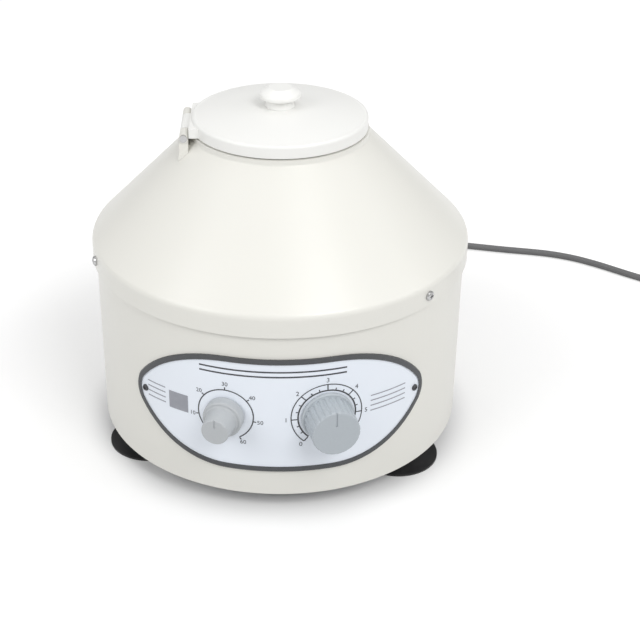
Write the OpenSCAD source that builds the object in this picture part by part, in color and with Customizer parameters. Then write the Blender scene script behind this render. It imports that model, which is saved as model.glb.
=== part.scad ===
/* [Feet] */
// Height from the table to the underside of the base plate
foot_h = 12; // [10:0.5:18]
// Radius of a foot's rubber rim on the table
foot_rim_r = 29.3; // [22:0.1:32]
// Radius of a foot's top face under the base plate
foot_top_r = 13; // [10:0.5:15]
// Distance of each foot's centre from the drum's outside
foot_inset = 26.2; // [21:0.2:32]
// Angle of the front right foot, counted from the front
foot_angle = 54; // [50:0.5:58]
// Height of the hollow under a foot's rubber cup
foot_cup_h = 4; // [2:0.2:5]

/* [Drum housing] */
// Outer radius of the drum
drum_r = 127.6; // [124:0.1:132]
// Height of the drum's wall
drum_h = 132; // [126:0.5:144]
// Thickness of the drum's sheet steel
drum_wall = 1.5; // [1:0.1:2]
// Width of the flange turned in at the drum's foot
drum_flange = 15.6; // [13:0.2:18]
// Thickness of the base plate
base_plate_t = 2; // [1.5:0.1:3]
// Distance of the base plate's edge from the drum's outside
base_plate_inset = 5.6; // [4:0.2:7]

/* [Top cover] */
// Radial gap between the drum and the cover's skirt
skirt_gap = 0.9; // [0.5:0.1:1.5]
// Length of skirt that overlaps the drum's top edge
skirt_overlap = 11; // [9:0.5:13]
// Height of the cover's straight skirt
skirt_h = 14.3; // [13:0.1:20]
// Height of the cone, from the shoulder to the foot of its neck
cone_h = 71; // [64:0.5:80]
// Outer radius of the neck at the cone's top
cone_top_r = 59.8; // [56:0.1:64]
// Height of the neck between the cone and the lid
neck_h = 3.5; // [3:0.1:6]
// Rounding of the shoulder between skirt and cone
shoulder_round = 6; // [4:0.5:10]
// Thickness of the cover's sheet steel
cover_wall = 1.5; // [1:0.1:2]
// Width of the ledge around the collar
ledge_w = 5.3; // [4:0.1:7]
// Height of the collar that the lid closes on
collar_h = 5; // [4:0.2:7]
// Angle of the front right cover screw, counted from the front
cover_screw_angle = 47.5; // [40:0.5:56]

/* [Lid] */
// Wall of the moulded lid
lid_wall = 2.2; // [1.6:0.1:3]
// Radial gap between the collar and the lid's rim
lid_clear = 2.3; // [2.1:0.1:3]
// Gap between the cone's ledge and the lid's lower edge
lid_gap = 1; // [0.6:0.1:1.8]
// Thickness of the lid's rubber gasket
gasket_t = 2.2; // [1.6:0.1:3]
// Rise of the lid's dome above its edge
dome_h = 5; // [3:0.5:9]
// Rounding of the lid's upper edge
lid_round = 2; // [1:0.1:2.1]
// Width of the lid's straight hinge tab
hinge_w = 50; // [46:1:60]
// Radius of the hinge's knuckles
knuckle_r = 3; // [2.5:0.1:3.4]
// Radius of the hinge pin
hinge_pin_r = 1.5; // [1:0.1:1.8]
// Width of the lid's middle knuckle
knuckle_w = 26; // [20:1:30]
// Thickness of the hinge bracket's foot on the cone
hinge_foot_t = 2.5; // [2:0.1:3.2]
// Radius of the lid's knob
lid_knob_r = 14; // [11:0.5:18]
// Height of the lid's knob
lid_knob_h = 13; // [10:0.5:18]

/* [Chamber bowl] */
// Radial gap between the drum's wall and the bowl's wall
bowl_inset = 8.6; // [7.6:0.1:11]
// Gap between the turning sleeves and the bowl's floor
floor_gap = 7.9; // [6:0.1:10]
// Radial gap between the turning sleeves and the bowl's wall
swing_gap = 9.4; // [7:0.1:12]
// Thickness of the bowl's sheet metal
bowl_wall = 1.2; // [0.8:0.1:2]

/* [Rotor] */
// Tilt of the tube sleeves from the vertical
tube_tilt = 40; // [36:0.5:42]
// Distance of the sleeve mouths from the spindle's axis
mouth_r = 38; // [36:0.5:41]
// Depth of the sleeve mouths below the collar's top edge
mouth_drop = 28; // [26:0.5:31]
// Radius of a sleeve's bore, for tubes of 20 ml
sleeve_bore_r = 11.3; // [9:0.1:11.8]
// Wall of a tube sleeve
sleeve_wall = 1.5; // [1:0.1:1.8]
// Thickness of the rotor's dished plate
rotor_plate_t = 7; // [5:0.5:9]
// Outer radius of the rotor's dished plate
rotor_plate_r = 59; // [56:0.5:61]
// Radius of the rotor's hub
rotor_hub_r = 14; // [11:0.5:16]
// Radius of the motor's shaft
shaft_r = 4; // [3:0.1:4.4]

/* [Motor] */
// Outer radius of the motor's case
motor_r = 40; // [36:0.5:44]
// Gap between the motor's upper end bell and the bowl
motor_gap = 15; // [13:0.5:18]
// Height of the motor's lower end bell
lower_bell_h = 9.5; // [9:0.5:12]
// Thickness of the motor's upper end bell
upper_bell_t = 6; // [5:0.5:8]
// Height of the rubber mounts under the motor
mount_h = 14; // [10:0.5:18]
// Radius of the rubber mounts
mount_r = 10; // [8:0.5:12]
// Distance of the rubber mounts from the spindle's axis
mount_circle_r = 50; // [49:0.5:54]
// Thickness of the plate that carries the motor
motor_plate_t = 2.5; // [2:0.1:4]

/* [Control panel] */
// Half length of the panel's outline, measured round the drum
panel_half_l = 106.5; // [98:0.5:110]
// Half height of the panel's outline
panel_half_h = 42.4; // [38:0.1:45]
// Half length of the outline's straight top and bottom edges
panel_flat = 35; // [25:1:45]
// Radius of the outline's two ends
panel_end_r = 16.8; // [12:0.1:22]
// Height of the panel's middle above the drum's lower edge
panel_rise = 61.9; // [58:0.1:66]
// Width of the panel's dark border
border_w = 3.2; // [2:0.1:5]
// Thickness of the panel's border
border_t = 1.7; // [1:0.1:2.5]
// Thickness of the panel's plate
panel_t = 1; // [0.6:0.1:1.5]
// Distance of the panel's screws from its middle, round the drum
panel_screw_s = 97.5; // [88:0.5:98]

/* [Knobs and controls] */
// Height of both knobs above the drum's lower edge
knob_rise = 60.8; // [58:0.1:66]
// Angle of the timer knob, to the left of the front
timer_angle = 16; // [15:0.1:18]
// Angle of the speed knob, to the right of the front
speed_angle = 13.7; // [12:0.1:16]
// Radius of the timer knob's base
timer_base_r = 13.1; // [11:0.1:15]
// Radius of the timer knob's grip at its face
timer_grip_r = 9; // [7.5:0.1:10.4]
// Radius of the speed knob's base
speed_base_r = 17.5; // [15:0.1:18]
// Radius of the speed knob's grip
speed_grip_r = 16; // [13:0.1:16.2]
// Height of both knobs off the panel
knob_h = 21.5; // [18:0.1:26]
// Radius of the control shafts
control_shaft_r = 3; // [2:0.1:3.2]
// Radius of the threaded bushes of both controls
bush_r = 5; // [4:0.1:5.5]
// Side of the timer's square case
timer_case_w = 44; // [36:0.5:46]
// Depth of the timer's case
timer_case_d = 28; // [20:0.5:34]

/* [Power inlet] */
// Angle of the power cord's exit, counted from the front
cord_angle = 160; // [150:1:164]
// Angle of the fuse holder, counted from the front
fuse_angle = -160; // [-168:1:-150]
// Height of the cord's exit and of the fuse holder above the table
inlet_z = 38; // [34:0.5:46]
// Radius of the power cord
cord_r = 2.8; // [2.4:0.1:2.8]
// Length of the strain relief outside the drum
relief_l = 29.5; // [24:0.5:34]

/* [Hidden] */
$fn = 96;

// Clearances between pieces
fit_gap = 0.05;
seat_gap = 0.1;
free_gap = 0.5;
cut = 1;

// Levels, from the table up
base_z = foot_h;
drum_z = base_z + base_plate_t;
drum_top_z = drum_z + drum_h;
skirt_z = drum_top_z - skirt_overlap;
shoulder_z = skirt_z + skirt_h;
cone_top_z = shoulder_z + cone_h;
ledge_z = cone_top_z + neck_h;
collar_top_z = ledge_z + collar_h;
lid_z = ledge_z + lid_gap;
lid_inner_z = collar_top_z + gasket_t;
lid_edge_z = lid_inner_z + lid_wall;
lid_top_z = lid_edge_z + dome_h;
mouth_z = collar_top_z - mouth_drop;
motor_plate_z = drum_z + mount_h;
motor_z = motor_plate_z + motor_plate_t;
case_z = motor_z + lower_bell_h;
panel_z = drum_z + panel_rise;
knob_z = drum_z + knob_rise;

// Radii that follow from the drum and the cover
drum_in = drum_r - drum_wall;
base_plate_r = drum_r - base_plate_inset;
foot_circle_r = drum_r - foot_inset;
flange_in = drum_r - drum_flange;
skirt_in = drum_r + skirt_gap;
skirt_r = skirt_in + cover_wall;
collar_r = cone_top_r - ledge_w;
collar_in = collar_r - cover_wall;
lid_in = collar_r + lid_clear;
lid_r = lid_in + lid_wall;
cone_tilt = atan2(skirt_r - cone_top_r, cone_h);
neck_round = 2;
bowl_r = drum_in - bowl_inset;

// Screws of the casing
casing_screw_r = 1.5;
base_screw_circle_r = (base_plate_r + flange_in) / 2;
base_screw_count = 6;
foot_screw_r = 2.5;
foot_screw_depth = foot_h - foot_cup_h - 2;
cover_screw_r = 1.5;
cover_screw_z = skirt_z + 7.5;
cover_screw_head_r = 3.3;
cover_nut = [10, 6, 3];

// Hinge at the lid's left edge
hinge_clear_r = max(lid_r, cone_top_r) + free_gap - seat_gap;
hinge_x = -(hinge_clear_r + seat_gap + knuckle_r);
hinge_z = lid_z;
tab_x = hinge_x + knuckle_r + free_gap;
tab_h = 6;
bracket_foot_w = 6.6;
hinge_screw_y = hinge_w / 2 - 8;
hinge_screw_x = hinge_x - 1.5;
hinge_screw_r = 1.2;
hinge_screw_grip = hinge_foot_t - 0.5;

// Rotor, sleeves and spindle
sleeve_r = sleeve_bore_r + sleeve_wall;
sleeve_collar_r = sleeve_r + 2.5;
sleeve_collar_t = 2;
sleeve_floor_t = 5;
sleeve_turns = [for (i = [0:5]) i * 60];
sleeve_reach = bowl_r - bowl_wall - swing_gap - mouth_r - sleeve_r * cos(tube_tilt);
sleeve_l = sleeve_reach / sin(tube_tilt);
sleeve_low_z = mouth_z - sleeve_l * cos(tube_tilt) - sleeve_r * sin(tube_tilt);
cushion_t = 3;
cushion_pocket_r = sleeve_bore_r - 1.5;
bowl_z = sleeve_low_z - floor_gap - bowl_wall;
boss_top_z = bowl_z + 2;
hub_z = bowl_z + 9;
hub_top_z = rotor_top(rotor_hub_r) + 4;
rotor_nut_h = 8;
rotor_nut_r = 9;
shaft_top_z = hub_top_z + rotor_nut_h + 1;
shaft_z = motor_z + 1;
rib_w = 4;

// Motor
case_top_z = bowl_z - motor_gap - upper_bell_t;
motor_case_h = case_top_z - case_z;
case_wall = 1.5;
bearing_r = 11;
bearing_h = 7;
boss_r = bearing_r + 3;
seal_r = boss_r + 10;
seal_groove_r = seal_r - 4;
seal_lip = 2.5;
winding_h = 5;
core_z = case_z + 3 + winding_h;
brush_h = 10;
core_l = motor_case_h - 2 * winding_h - brush_h - 6;
armature_r = 21.5;
stator_r = motor_r - case_wall;
stator_in = armature_r + free_gap;
yoke_in = stator_r - 7;
pole_w = 26;
commutator_r = 11;
commutator_z = core_z + core_l + winding_h;
commutator_l = case_top_z - 2 - commutator_z;
brush_z = case_top_z - 2 - brush_h / 2;
brush_w = 6;
mount_turns = [30, 150, 270];
mount_screw_r = 2.5;
motor_screw_r = 2;
motor_screw_grip = 5;
motor_screw_circle_r = 28;
vent_r = 4;
vent_circle_r = 72;

// Panel and controls
panel_r = drum_r + panel_t;
panel_screw_r = 1.5;
panel_screw_angle = arc_angle(panel_screw_s, drum_r);
knob_back_r = panel_r + free_gap;
knob_face_r = knob_back_r + knob_h;
control_face_r = sqrt(pow(drum_in - 2 * seat_gap, 2) - pow(timer_case_w / 2, 2));
bush_out_r = panel_r + 3.5;
shaft_out_r = knob_face_r - 5;
nut_across_r = bush_r + 2.5;
nut_t = 2.4;
nut_well_r = nut_across_r + 1;
nut_well_h = bush_out_r - panel_r + free_gap;
bush_shoulder_r = bush_r + 3;
shoulder_face_r = sqrt(pow(drum_in, 2) - pow(bush_shoulder_r, 2)) - seat_gap;
pot_r = 12;
pot_d = 9;
flute_count = 24;
flute_r = 1.3;
pointer_w = 1.2;

// Circuit board behind the motor, on posts of the base plate
board_turn = -112;
board_size = [64, 36, 1.6];
board_r = flange_in - board_size[1] / 2 - 4;
post_h = 8;
post_r = 3;
capacitor_r = 7;
capacitor_h = 22;
heat_sink = [26, 6, 24];
relay = [18, 9, 11];
rectifier = [6, 10, 12];
part_gap = 3;

// Power inlet
relief_r = 6.4;
relief_tip_r = cord_r + 1.6;
relief_inner_l = 6;
relief_tip = drum_r + relief_l;
fuse_body_r = 6;
fuse_body_l = 30;
fuse_flange_r = 9;
fuse_cap_r = 6.4;
fuse_cap_l = 11;

// Free stretch of the power cord: its points, chosen by hand after the two at the strain relief
cord_points = concat(
    [for (r = [relief_tip, relief_tip + 8]) [r * sin(cord_angle), -r * cos(cord_angle), inlet_z]],
    [[60.5, 168, 37], [64, 179.5, 35], [68, 191.5, 31.5], [72.5, 203.5, 27], [77.6, 215, 22],
    [83.5, 226, 17], [90.5, 236.5, 12.4], [99, 246.5, 8.4], [109, 255.5, 5.2], [120.5, 262, 3.3],
    [134, 265.8, 2.8], [151, 265.5, 2.8], [168.5, 262.6, 2.8], [184.8, 258.8, 2.8],
    [200, 255.2, 2.8], [214, 252.3, 2.8], [227.5, 249.6, 2.8], [240.6, 246.4, 2.8],
    [253, 242, 2.8], [265, 236.2, 2.8], [276, 229.3, 2.8], [287, 221.3, 2.8],
    [297, 213.2, 2.8], [307, 205.2, 2.8], [317, 197.8, 2.8], [328, 190.8, 2.8],
    [339, 184.6, 2.8], [350.4, 180.5, 2.8]]);
cord_end = [for (i = [0, 1]) cord_points[len(cord_points) - 1][i]];
cord_sides = 10;

// Coil of the length that is put away: a plain ring, as wide and as high as its windings
coil_x = 356;
coil_y = 134;
coil_out_r = 43.6;
coil_in_r = 21.4;
coil_h = 12;
coil_tail_x = coil_x + coil_out_r - cord_r - seat_gap;
plug_lead = 32;
echo(free_cord_length = path_length(cord_points));
echo(cord_gap_to_coil = norm([coil_x, coil_y] - cord_end) - coil_out_r - cord_r);

// Plug at the coil's end
plug_boot_l = 16;
plug_body = [27, 34, 24];
plug_end = [coil_tail_x, coil_y - plug_lead, coil_h - cord_r - seat_gap];
plug_boot_r = 7.5;
plug_round = 5;
plug_mid_z = plug_body[2] / 2 + seat_gap;
pin_root = 8;
blade = [1.5, 17, 6.3];
blade_gap = 12.7;
earth_pin_r = 2.4;
earth_pin_l = 19;

// Angle in degrees of an arc length s at radius r
function arc_angle(s, r) = s / r * 180 / PI;
// Points on a circle of radius r about c, from angle a0 to a1
function arc_points(c, r, a0, a1, n) =
    [for (i = [0:n]) let (a = a0 + (a1 - a0) * i / n) c + r * [cos(a), sin(a)]];
// Upper surface of the rotor's dished plate at a distance r from the axis
function rotor_top(r) =
    mouth_z - sleeve_collar_t * cos(tube_tilt)
    + (r - mouth_r - sleeve_collar_t * sin(tube_tilt)) * tan(tube_tilt);
// Outline of the panel in the plane of the drum's developed wall, drawn in by inset
function panel_half(inset) =
    let (l = panel_half_l - inset, h = panel_half_h - inset, e = panel_end_r - inset,
        run = l - e - panel_flat,
        r = (run * run + h * h - e * e) / (2 * (h - e)),
        turn = atan2(r - h, run))
    concat(arc_points([panel_flat, h - r], r, 90, turn, 14),
        arc_points([l - e, 0], e, turn, 0, 6));
function panel_outline(inset) =
    let (q = panel_half(inset), n = len(q) - 1)
    concat(q,
        [for (i = [n - 1:-1:0]) [q[i][0], -q[i][1]]],
        [for (i = [0:n]) [-q[i][0], -q[i][1]]],
        [for (i = [n - 1:-1:0]) [-q[i][0], q[i][1]]]);
// A developed point put back on the drum, seen from the front
function wrapped(p) = [drum_r * sin(arc_angle(p[0], drum_r)), p[1]];
// Length of a line through points
function path_length(p) = vsum([for (i = [1:len(p) - 1]) norm(p[i] - p[i - 1])]);
function vsum(v, i = 0) = i == len(v) ? 0 : v[i] + vsum(v, i + 1);
function unit(v) = v / norm(v);
function tangent(p, i) = unit(p[min(i + 1, len(p) - 1)] - p[max(i - 1, 0)]);
// Ring of a swept tube: sides points about p[i], square to the path, level with the table
function ring(p, i, r, sides) =
    let (t = tangent(p, i), u = unit(cross([0, 0, 1], t)), v = cross(t, u))
    [for (k = [0:sides - 1])
        let (a = 360 * (k + 0.5) / sides + 90) p[i] + r * (cos(a) * u + sin(a) * v)];

module swept_tube(p, r, sides) {
    rings = len(p);
    points = [for (i = [0:rings - 1]) each ring(p, i, r, sides)];
    walls = [for (i = [0:rings - 2], k = [0:sides - 1])
        let (a = i * sides + k, b = i * sides + (k + 1) % sides)
        each [[a, a + sides, b], [b, a + sides, b + sides]]];
    first = [for (k = [1:sides - 2]) [0, k, k + 1]];
    last = [for (k = [1:sides - 2]) let (m = (rings - 1) * sides) [m, m + k + 1, m + k]];
    polyhedron(points = points, faces = concat(walls, first, last));
}

// Puts a piece on the drum's wall, with its own Z pointing outwards
module out_at(angle, r, z) {
    rotate([0, 0, angle]) translate([0, -r, z]) rotate([90, 0, 0]) children();
}

module turned(angles) {
    for (a = angles) rotate([0, 0, a]) children();
}

module washer(r_out, r_in, h) {
    difference() {
        cylinder(r = r_out, h = h);
        translate([0, 0, -cut]) cylinder(r = r_in, h = h + 2 * cut);
    }
}

// Pan-head screw with a crossed recess, its head above Z = 0
module pan_screw(shank_r, shank_l, head_r, head_h) {
    difference() {
        union() {
            rotate_extrude() polygon([[0, 0], [head_r, 0], [head_r, head_h * 0.45],
                [head_r * 0.86, head_h * 0.82], [head_r * 0.6, head_h], [0, head_h]]);
            translate([0, 0, -shank_l]) cylinder(r = shank_r, h = shank_l + head_h / 4);
        }
        for (a = [0, 90]) rotate([0, 0, a])
            translate([-head_r * 0.55, -head_r * 0.12, head_h * 0.5])
                cube([head_r * 1.1, head_r * 0.24, head_h]);
    }
}

module base_screw_places() {
    for (i = [0:base_screw_count - 1])
        rotate([0, 0, foot_angle + 30 + i * 360 / base_screw_count])
            translate([0, -base_screw_circle_r, 0]) children();
}

module foot_places() {
    turned([foot_angle, foot_angle + 120, foot_angle + 240])
        translate([0, -foot_circle_r, 0]) children();
}

module mount_places(r) {
    turned(mount_turns) translate([0, -r, 0]) children();
}

module cover_screw_places(r) {
    for (i = [0:2]) out_at(cover_screw_angle + i * 120, r, cover_screw_z) children();
}

module post_places() {
    rotate([0, 0, board_turn])
        for (x = [-1, 1], y = [-1, 1])
            translate([x * (board_size[0] / 2 - 4), y * (board_size[1] / 2 - 4) - board_r, 0])
                children();
}

module drum_housing() {
    color("ivory") difference() {
        translate([0, 0, drum_z]) cylinder(r = drum_r, h = drum_h);
        translate([0, 0, drum_z + drum_wall]) cylinder(r = drum_in, h = drum_h);
        translate([0, 0, drum_z - cut]) cylinder(r = flange_in, h = drum_wall + 2 * cut);
        translate([0, 0, drum_z - cut]) base_screw_places()
            cylinder(r = casing_screw_r + fit_gap, h = drum_wall + 2 * cut);
        foot_places() translate([0, 0, drum_z - cut])
            cylinder(r = foot_screw_r * 2 + free_gap, h = drum_wall + 2 * cut);
        for (a = [-timer_angle, speed_angle]) out_at(a, drum_in - cut * 3, knob_z)
            cylinder(r = bush_r + fit_gap, h = drum_wall + cut * 6);
        for (s = [-1, 1]) out_at(s * panel_screw_angle, drum_in - cut, panel_z)
            cylinder(r = panel_screw_r + fit_gap, h = drum_wall + 2 * cut);
        cover_screw_places(drum_in - cut)
            cylinder(r = cover_screw_r + fit_gap, h = drum_wall + 2 * cut);
        out_at(fuse_angle, drum_in - cut, inlet_z)
            cylinder(r = fuse_body_r + fit_gap, h = drum_wall + 2 * cut);
        out_at(cord_angle, drum_in - cut, inlet_z)
            cylinder(r = relief_r + fit_gap, h = drum_wall + 2 * cut);
    }
}

module base_plate() {
    color("dimgray") difference() {
        union() {
            translate([0, 0, base_z]) cylinder(r = base_plate_r, h = base_plate_t);
            post_places() translate([0, 0, base_z]) cylinder(r = post_r, h = base_plate_t + post_h);
        }
        translate([0, 0, base_z - cut]) base_screw_places()
            cylinder(r = casing_screw_r + fit_gap, h = base_plate_t + 2 * cut);
        foot_places() translate([0, 0, base_z - cut])
            cylinder(r = foot_screw_r + fit_gap, h = base_plate_t + 2 * cut);
        mount_places(mount_circle_r) translate([0, 0, base_z - cut])
            cylinder(r = mount_screw_r + fit_gap, h = base_plate_t + 2 * cut);
        turned([for (i = [0:5]) i * 60]) translate([0, -vent_circle_r, base_z - cut])
            cylinder(r = vent_r, h = base_plate_t + 2 * cut);
    }
}

module base_screws() {
    color("silver") base_screw_places() translate([0, 0, base_z]) mirror([0, 0, 1])
        pan_screw(casing_screw_r, base_plate_t + drum_wall, 3, 1.8);
}

// Suction foot: a top boss that flares to a thin rim round a hollow cup
module foot(angle) {
    neck_r = foot_top_r - 2;
    flare = [for (i = [0:8]) let (t = i / 8)
        [neck_r + (foot_rim_r - neck_r) * (1 - cos(90 * t)), 1.5 + (foot_h - 5.5) * (1 - sin(90 * t))]];
    color([0.12, 0.12, 0.13]) rotate([0, 0, angle]) translate([0, -foot_circle_r, 0])
        difference() {
            rotate_extrude() polygon(concat(
                [[0, foot_cup_h], [0, foot_h], [foot_top_r, foot_h], [foot_top_r, foot_h - 2.5]],
                flare,
                [[foot_rim_r, 0], [foot_rim_r - 2.5, 0], [foot_rim_r * 0.6, foot_cup_h * 0.7]]));
            translate([0, 0, foot_h - foot_screw_depth - seat_gap])
                cylinder(r = foot_screw_r + fit_gap, h = foot_h);
        }
}

module foot_screws() {
    color("silver") foot_places() translate([0, 0, drum_z])
        pan_screw(foot_screw_r, base_plate_t + foot_screw_depth, foot_screw_r * 2, 3.2);
}

// Section of the cover, drawn in by inset from its outer surface
function cover_line(inset) = concat([[skirt_r - inset, skirt_z]],
    arc_points([skirt_r - shoulder_round, shoulder_z - shoulder_round * tan(cone_tilt / 2)],
        shoulder_round - inset, 0, cone_tilt, 8));
function cover_section() =
    let (back = cover_line(cover_wall), n = len(back) - 1, neck_in = cone_top_r - cover_wall)
    concat(cover_line(0),
        arc_points([cone_top_r + neck_round, cone_top_z + neck_round * tan(cone_tilt / 2)],
            neck_round, 180 + cone_tilt, 180, 4),
        [[cone_top_r, ledge_z], [collar_r, ledge_z], [collar_r, collar_top_z],
        [collar_in, collar_top_z], [collar_in, ledge_z - cover_wall],
        [neck_in, ledge_z - cover_wall],
        [neck_in, cone_top_z - cover_wall * (1 - cos(cone_tilt)) / sin(cone_tilt)]],
        [for (i = [n:-1:0]) back[i]]);

// Solid cone whose surface stands a distance off outside the cover's cone
module cone_body(off) {
    rise = off / sin(cone_tilt);
    rotate_extrude() polygon([[0, shoulder_z], [skirt_r + rise * tan(cone_tilt), shoulder_z],
        [cone_top_r, cone_top_z + rise], [0, cone_top_z + rise]]);
}

// Puts a screw of the hinge on the cone, with its own Z pointing outwards
module hinge_screw_places(off) {
    r = norm([hinge_screw_x, hinge_screw_y]);
    z = cone_top_z - (r - cone_top_r) / tan(cone_tilt);
    turn = atan2(-hinge_screw_y, hinge_screw_x);
    for (s = [-1, 1]) rotate([0, 0, 180 + s * (turn + 180)]) translate([r, 0, z])
        rotate([0, 90 - cone_tilt, 0]) translate([0, 0, off]) children();
}

module top_cover() {
    color("ivory") difference() {
        rotate_extrude() polygon(cover_section());
        cover_screw_places(skirt_in - cut)
            cylinder(r = cover_screw_r + fit_gap, h = cover_wall + 2 * cut);
        hinge_screw_places(-cover_wall - cut)
            cylinder(r = hinge_screw_r + fit_gap, h = cover_wall + 2 * cut);
    }
}

module cover_screws() {
    color("silver") cover_screw_places(skirt_r)
        pan_screw(cover_screw_r, skirt_r - drum_in + cover_nut[2] + seat_gap, cover_screw_head_r, 2.2);
}

module cover_nuts() {
    color("gray") cover_screw_places(drum_in - cover_nut[2] - seat_gap - fit_gap)
        difference() {
            translate([-cover_nut[0] / 2, -cover_nut[1] / 2, 0]) cube(cover_nut);
            translate([0, 0, -cut]) cylinder(r = cover_screw_r + fit_gap, h = cover_nut[2] + 2 * cut);
        }
}

// Bracket fixed to the cone from inside, with a knuckle at each end of the hinge
module hinge_bracket() {
    outer_w = (hinge_w - knuckle_w - free_gap) / 2;
    color("ivory") difference() {
        union() {
            intersection() {
                cone_body(hinge_foot_t);
                translate([hinge_x - bracket_foot_w + knuckle_r, -hinge_w / 2, shoulder_z])
                    cube([bracket_foot_w, hinge_w, cone_h + cut]);
            }
            for (s = [-1, 1]) translate([hinge_x, s * (hinge_w + knuckle_w) / 4, hinge_z])
                rotate([90, 0, 0]) {
                    cylinder(r = knuckle_r, h = outer_w, center = true);
                    translate([-knuckle_r, -cone_h / 3, -outer_w / 2])
                        cube([2 * knuckle_r, cone_h / 3, outer_w]);
                }
        }
        cone_body(seat_gap);
        translate([hinge_x, 0, hinge_z]) rotate([90, 0, 0]) {
            cylinder(r = knuckle_r + hinge_foot_t, h = knuckle_w + free_gap, center = true);
            cylinder(r = hinge_pin_r + fit_gap, h = hinge_w + cut, center = true);
        }
        translate([0, 0, cone_top_z - cover_wall])
            cylinder(r = hinge_clear_r, h = cover_wall + neck_h + lid_gap + collar_h);
        hinge_screw_places(-cut)
            cylinder(r = hinge_screw_r + fit_gap, h = hinge_screw_grip + seat_gap + cut);
    }
}

module hinge_pin() {
    color("silver") translate([hinge_x, 0, hinge_z]) rotate([90, 0, 0]) {
        cylinder(r = hinge_pin_r, h = hinge_w, center = true);
        translate([0, 0, hinge_w / 2]) cylinder(r = hinge_pin_r + 1, h = 1.2);
    }
}

module hinge_screws() {
    color("silver") hinge_screw_places(-cover_wall - seat_gap) mirror([0, 0, 1])
        pan_screw(hinge_screw_r, cover_wall + hinge_screw_grip, 2.4, 1.4);
}

// Outside of the lid's crown: a shallow cap over a rounded edge
function crown(r, z, rise, n) =
    let (big = (r * r + rise * rise) / (2 * rise), half = asin(r / big))
    [for (i = [0:n]) let (a = half * (1 - i / n)) [big * sin(a), z + big * cos(a) - big + rise]];

module lid() {
    color("white") difference() {
        union() {
            rotate_extrude() polygon(concat(
                [[lid_in, lid_z], [lid_r, lid_z]],
                arc_points([lid_r - lid_round, lid_edge_z - lid_round], lid_round, 0, 90, 5),
                crown(lid_r - lid_round - 1, lid_edge_z, dome_h, 12),
                [[0, lid_top_z - lid_wall]],
                [for (i = [11:-1:0]) crown(lid_in - 6, lid_inner_z, dome_h, 12)[i]],
                [[lid_in, lid_inner_z]]));
            difference() {
                translate([tab_x, -hinge_w / 2, lid_z]) cube([lid_r, hinge_w, tab_h]);
                translate([0, 0, lid_z - cut]) cylinder(r = lid_r - 1, h = tab_h + 2 * cut);
                translate([0, -lid_r, lid_z - cut]) cube([2 * lid_r, 2 * lid_r, tab_h + 2 * cut]);
            }
            translate([hinge_x, 0, hinge_z]) rotate([90, 0, 0])
                cylinder(r = knuckle_r, h = knuckle_w - free_gap, center = true);
            translate([hinge_x, -(knuckle_w - free_gap) / 2, hinge_z])
                cube([knuckle_r + free_gap + 0.4, knuckle_w - free_gap, knuckle_r]);
        }
        translate([hinge_x, 0, hinge_z]) rotate([90, 0, 0])
            cylinder(r = hinge_pin_r + fit_gap, h = knuckle_w + cut, center = true);
        translate([0, 0, lid_inner_z]) cylinder(r = casing_screw_r + fit_gap, h = dome_h + 2 * lid_wall);
    }
}

module lid_gasket() {
    color("gray") translate([0, 0, collar_top_z]) washer(lid_in - 0.3, collar_in - 1, gasket_t);
}

module lid_knob() {
    color("white") difference() {
        translate([0, 0, lid_top_z]) rotate_extrude() polygon(concat(
            [[0, 0], [lid_knob_r * 0.7, 0], [lid_knob_r * 0.62, lid_knob_h * 0.35]],
            arc_points([lid_knob_r - 3, lid_knob_h - 5], 3, -30, 60, 6),
            [[lid_knob_r * 0.55, lid_knob_h], [0, lid_knob_h]]));
        translate([0, 0, lid_top_z - cut]) cylinder(r = casing_screw_r + fit_gap, h = lid_knob_h - 3);
    }
}

module lid_knob_screw() {
    color("silver") translate([0, 0, lid_top_z - lid_wall - seat_gap]) mirror([0, 0, 1])
        pan_screw(casing_screw_r, lid_wall + lid_knob_h - 6, 3, 1.8);
}

module chamber_bowl() {
    hole_r = seal_groove_r + seat_gap;
    inner_r = bowl_r - bowl_wall;
    round_r = 4;
    color("silver") rotate_extrude() polygon(concat(
        [[hole_r, bowl_z]],
        arc_points([bowl_r - round_r, bowl_z + round_r], round_r, -90, 0, 4),
        [[bowl_r, drum_top_z], [drum_r, drum_top_z], [drum_r, drum_top_z + bowl_wall],
        [inner_r, drum_top_z + bowl_wall]],
        arc_points([bowl_r - round_r, bowl_z + round_r], round_r - bowl_wall, 0, -90, 4),
        [[hole_r, bowl_z + bowl_wall]]));
}

module shaft_seal() {
    top = bowl_wall + 2 * seal_lip + seat_gap;
    color([0.15, 0.15, 0.16]) translate([0, 0, bowl_z - seal_lip]) rotate_extrude() polygon([
        [boss_r + fit_gap, 0], [seal_r, 0], [seal_r, seal_lip - seat_gap],
        [seal_groove_r, seal_lip - seat_gap], [seal_groove_r, seal_lip + bowl_wall + seat_gap],
        [seal_r, seal_lip + bowl_wall + seat_gap], [seal_r - seal_lip, top],
        [boss_r + fit_gap, top]]);
}

// Puts a piece on a sleeve's axis, with its own Z pointing out of the mouth
module sleeve_at(turn, depth) {
    rotate([0, 0, turn]) translate([0, -mouth_r, mouth_z]) rotate([-tube_tilt, 0, 0])
        translate([0, 0, -depth]) children();
}

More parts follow.
